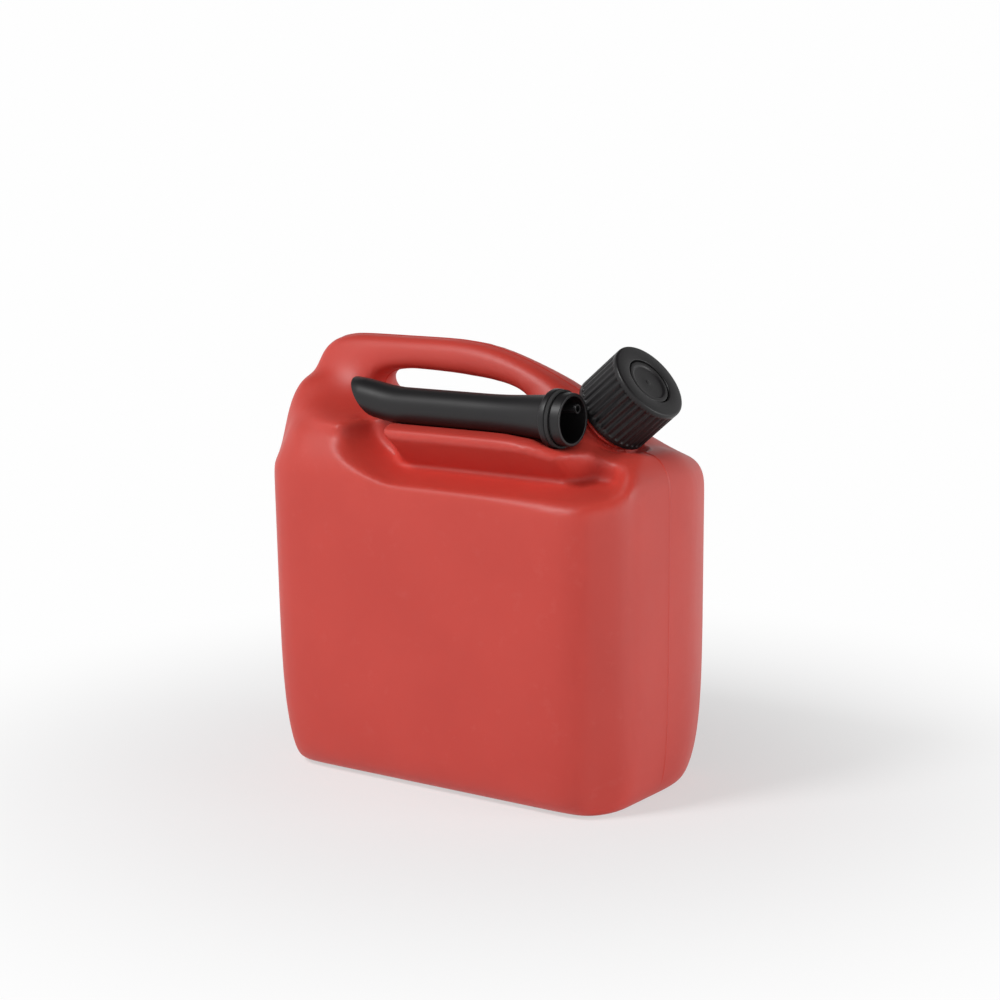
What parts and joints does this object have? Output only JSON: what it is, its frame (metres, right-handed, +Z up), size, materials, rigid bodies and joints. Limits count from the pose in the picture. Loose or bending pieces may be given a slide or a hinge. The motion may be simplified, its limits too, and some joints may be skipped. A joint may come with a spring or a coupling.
{
  "type": "plastic jerrycan",
  "caption": "Five litre plastic fuel can with an integral handle, a leaning neck with a ribbed screw collar, and a pouring spout stowed along its shoulder.",
  "frame": {"origin": "middle of the flat base", "axes": "+X towards the neck, -Y the side that carries the spout, +Z up"},
  "size_m": [0.2463, 0.135, 0.2497],
  "materials": {
    "red_polythene": "blow-moulded, satin with a fine grain",
    "black_polythene": "injection-moulded, satin",
    "nitrile_rubber": "matt"
  },
  "bodies": {
    "can": {"can_body": "red_polythene"},
    "closure": {"sealing_disc": "black_polythene", "neck_gasket": "nitrile_rubber"},
    "collar": {"screw_collar": "black_polythene"},
    "spout": {"spout_tube": "black_polythene", "spout_gasket": "nitrile_rubber", "breather_tube": "black_polythene"}
  },
  "joints": [
    {"name": "closure_lift", "type": "slide", "parent": "can", "child": "closure", "axis": [0.766, 0, 0.6428], "range_m": [0, 0.012]},
    {"name": "collar_turn", "type": "hinge", "parent": "closure", "child": "collar", "pos_m": [0.085, 0, 0.212], "axis": [0.766, 0, 0.6428], "range_deg": [0, 720]},
    {"name": "spout_lift", "type": "slide", "parent": "can", "child": "spout", "axis": [0, -0.5, 0.866], "range_m": [0, 0.06]}
  ],
  "couplings": [
    {"joint": "closure_lift", "follows": "collar_turn", "m_per_rad": 0.000954}
  ]
}
